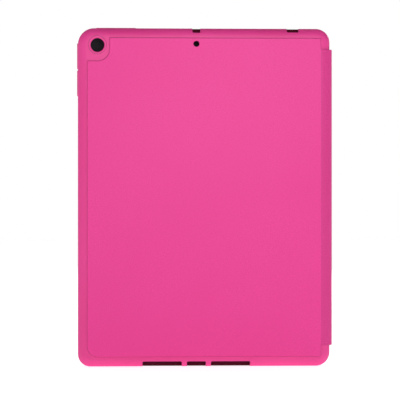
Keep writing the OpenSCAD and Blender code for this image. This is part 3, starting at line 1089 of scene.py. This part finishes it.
@dataclass
class Fold:
    """One fold of the cover, where the leather is pressed down to its lining between two panels."""

    name: str
    bodies: tuple[Body, Body]
    panels: tuple[str, str]
    steps: int = 28
    hem: float = 2.45 * MM
    bend: float = 1.2 * MM
    crease: float = 0.3 * MM
    lining_crease: float = 0.1 * MM
    crease_width: float = 0.9 * MM
    end_round: float = 0.15 * MM

    def build(self) -> None:
        """Build the leather and the suede."""
        self.build_strip("skin", 1, LEATHER.material(), Slot.LEATHER).report()
        self.build_strip("lining", -1, SUEDE.material(), Slot.SUEDE).report()

    def build_strip(self, layer: str, facing: int, material: bpy.types.Material, slot: Slot) -> Piece:
        """Extrude one strip across the fold, with a soft valley along its middle.

        Args:
            layer: The CAD layer that the strip stands for.
            facing: 1 where the strip faces forwards, -1 where it faces the tray.
            material: The strip's material.
            slot: Its material slot in the record.

        Returns:
            The finished strip.
        """
        node = f"{self.name}_{layer}"
        low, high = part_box(node)
        if slot is Slot.SUEDE:
            low.z += self.hem
            high.z -= self.hem
        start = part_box(f"{self.panels[1]}_lining")[1].x
        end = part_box(f"{self.panels[0]}_lining")[0].x
        face = high.y if facing > 0 else low.y
        middle = (start + end) / 2
        valley = self.crease if facing > 0 else self.lining_crease

        def depth(x: float) -> float:
            """Find the strip's face along Y at a place along X."""
            return face - facing * valley * math.exp(-((x - middle) / self.crease_width) ** 2)

        places = [start + (end - start) * i / self.steps for i in range(self.steps + 1)]
        piece = Piece.upright_edge(f"{self.name}_{STRIP_NAMES[layer]}", Vector((start, depth(start), low.z)),
                                   Vector((start, depth(start), high.z)))
        with piece.editing():
            bpy.ops.mesh.select_all(action="SELECT")
            for here, there in zip(places, places[1:]):
                piece.extrude_by(Vector((there - here, depth(there) - depth(here), 0)))
        piece.face_away_from(Vector((middle, face - facing, (low.z + high.z) / 2)))
        piece.thicken(high.y - low.y - valley)
        piece.round_edges(lambda e: is_end_edge(e, low.z, high.z), self.end_round, 2)
        piece.dress(material)
        piece.smooth()
        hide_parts(node)
        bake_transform(piece.obj)
        return piece


def dress_node(node: str, material: bpy.types.Material) -> None:
    """Give a CAD node its finish, by its own material slots.

    Args:
        node: The CAD node.
        material: Its finish.
    """
    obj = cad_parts[node]
    if not obj.material_slots:
        obj.data.materials.append(None)
    for slot in obj.material_slots:
        slot.material = material
    LOG.info("%s: CAD shape with %s", node, material.name)


# Studio

@dataclass(frozen=True)
class SoftBox:
    """A square soft box that faces the middle of the case."""

    name: str
    place: tuple[float, float, float]
    size: float
    watts: float

    def build(self) -> None:
        """Add the lamp, out of the camera's sight."""
        place = Vector(self.place)
        target = Vector((0, 0, (CAD_BOX[0][2] + CAD_BOX[1][2]) / 2))
        clear_selection()
        bpy.ops.object.light_add(type="AREA", location=place,
                                 rotation=(place - target).to_track_quat("Z", "Y").to_euler())
        lamp = bpy.context.object
        lamp.name = self.name
        lamp.visible_camera = False
        lamp.data.shape = "SQUARE"
        lamp.data.size = self.size
        lamp.data.energy = self.watts


@dataclass
class Studio:
    """A pale floor, soft boxes, and a camera straight behind the case."""

    lens: float = 150.0
    sensor: float = 36.0
    frame_width: float = 302.6 * MM
    look_at: tuple[float, float] = (-3.8 * MM, 126.2 * MM)
    turn: float = 2.0  # degrees, towards the free side
    nearest: float = 10 * MM
    floor_size: float = 8.0
    floor_glow: float = 0.73
    above: tuple[float, float] = (0.22, 0.7)  # the world's Z between full strength and the strength overhead
    overhead: float = 0.3
    round_about: tuple[float, float] = (-0.7, 0.7)  # the world's Y between the camera's side and the cover's
    camera_side: float = 0.18
    skyline: float = 0.15  # the world's Z above which the white skyline has faded
    soft_boxes: tuple[SoftBox, ...] = (
        SoftBox("key_soft_box", (0.04, -0.53, 0.29), 0.24, 0.95),
        SoftBox("left_soft_box", (-0.9, -0.7, 0.3), 0.8, 0.35),
        SoftBox("right_soft_box", (0.9, -0.8, 0.3), 0.8, 0.2),
        SoftBox("cover_soft_box", (0.5, 1.3, 0.8), 1.1, 9.0),
    )

    def build(self) -> None:
        """Set up the camera, the floor and the lights."""
        self.place_camera()
        self.lay_floor()
        self.light_world()
        for soft_box in self.soft_boxes:
            soft_box.build()

    def place_camera(self) -> None:
        """Place the camera level, a little towards the free side, so that the frame is as wide as stated."""
        x, z = self.look_at
        distance = self.frame_width * self.lens / self.sensor
        turn = math.radians(self.turn)
        place = Vector((x - distance * math.sin(turn), CAD_BOX[0][1] - distance * math.cos(turn), z))
        clear_selection()
        bpy.ops.object.camera_add(location=place, rotation=(UPRIGHT, 0, -turn))
        camera = bpy.context.object
        camera.name = "back_view"
        camera.data.lens = self.lens
        camera.data.sensor_width = self.sensor
        camera.data.clip_start = self.nearest
        bpy.context.scene.camera = camera

    def lay_floor(self) -> None:
        """Lay a broad pale paper sheet under the case."""
        clear_selection()
        bpy.ops.mesh.primitive_plane_add(size=self.floor_size, location=(0, 0, 0))
        floor = bpy.context.object
        floor.name = "paper_floor"
        paper = new_material("matt_white_paper")
        tree = paper.node_tree
        fibres = grain_noise(tree, 2 * MM, 2)
        output_surface(tree, {
            "Base Color": blend_colours(tree, fibres, linear("#f6f5f4"), linear("#fafaf9")),
            "Roughness": 0.9,
            "Specular IOR Level": 0.2,
            "Emission Color": linear("#ffffff"),
            "Emission Strength": self.floor_glow,
        })
        floor.data.materials.append(paper)

    def light_world(self) -> None:
        """Light the room with a white world: full on the cover's side, weak on the camera's side and overhead."""
        world = bpy.data.worlds.new("white_room")
        world.use_nodes = True
        world.node_tree.nodes.clear()
        tree = world.node_tree
        place = add_node(tree, "ShaderNodeTexCoord")
        split = add_node(tree, "ShaderNodeSeparateXYZ", {"Vector": place.outputs["Generated"]})
        level = add_node(tree, "ShaderNodeMapRange", {
            "Value": split.outputs["Z"], "From Min": self.above[0], "From Max": self.above[1],
            "To Min": 1.0, "To Max": self.overhead})
        behind = add_node(tree, "ShaderNodeMapRange", {
            "Value": split.outputs["Y"], "From Min": self.round_about[0], "From Max": self.round_about[1],
            "To Min": self.camera_side, "To Max": 1.0})
        strength = add_node(tree, "ShaderNodeMath", {
            0: level.outputs["Result"], 1: behind.outputs["Result"]}, operation="MULTIPLY")
        horizon = add_node(tree, "ShaderNodeMapRange", {
            "Value": split.outputs["Z"], "From Min": 0.0, "From Max": self.skyline, "To Min": 1.0, "To Max": 0.0})
        seen = add_node(tree, "ShaderNodeMath", {
            0: strength.outputs["Value"], 1: horizon.outputs["Result"]}, operation="MAXIMUM")
        sky = add_node(tree, "ShaderNodeBackground", {
            "Color": linear("#ffffff"), "Strength": seen.outputs["Value"]})
        add_node(tree, "ShaderNodeOutputWorld", {"Surface": sky.outputs["Background"]})
        bpy.context.scene.world = world
        bpy.context.scene.view_settings.view_transform = "Standard"


def main() -> None:
    """Build the case and its studio."""
    logging.basicConfig(level=logging.INFO, format="%(name)s %(message)s")
    Studio().build()
    Tray().build()
    Spine().build()
    panels = [
        Panel("inner", Body.INNER, (Side.FREE,), (0, 8 * MM, 8 * MM, 0), fittings=("stand_strip",)),
        Panel("middle", Body.MIDDLE, (Side.FREE, Side.SPINE), (0, 0, 0, 0)),
        Panel("outer", Body.OUTER, (Side.SPINE,), (8.8 * MM, 0, 0, 11.8 * MM),
              fittings=("closing_magnets", "sleep_magnet")),
    ]
    folds = [
        Fold("fold_1", (Body.INNER, Body.MIDDLE), ("inner", "middle")),
        Fold("fold_2", (Body.MIDDLE, Body.OUTER), ("middle", "outer")),
    ]
    for part in panels + folds:
        part.build()
    clear_selection()


if __name__ == "__main__":
    main()
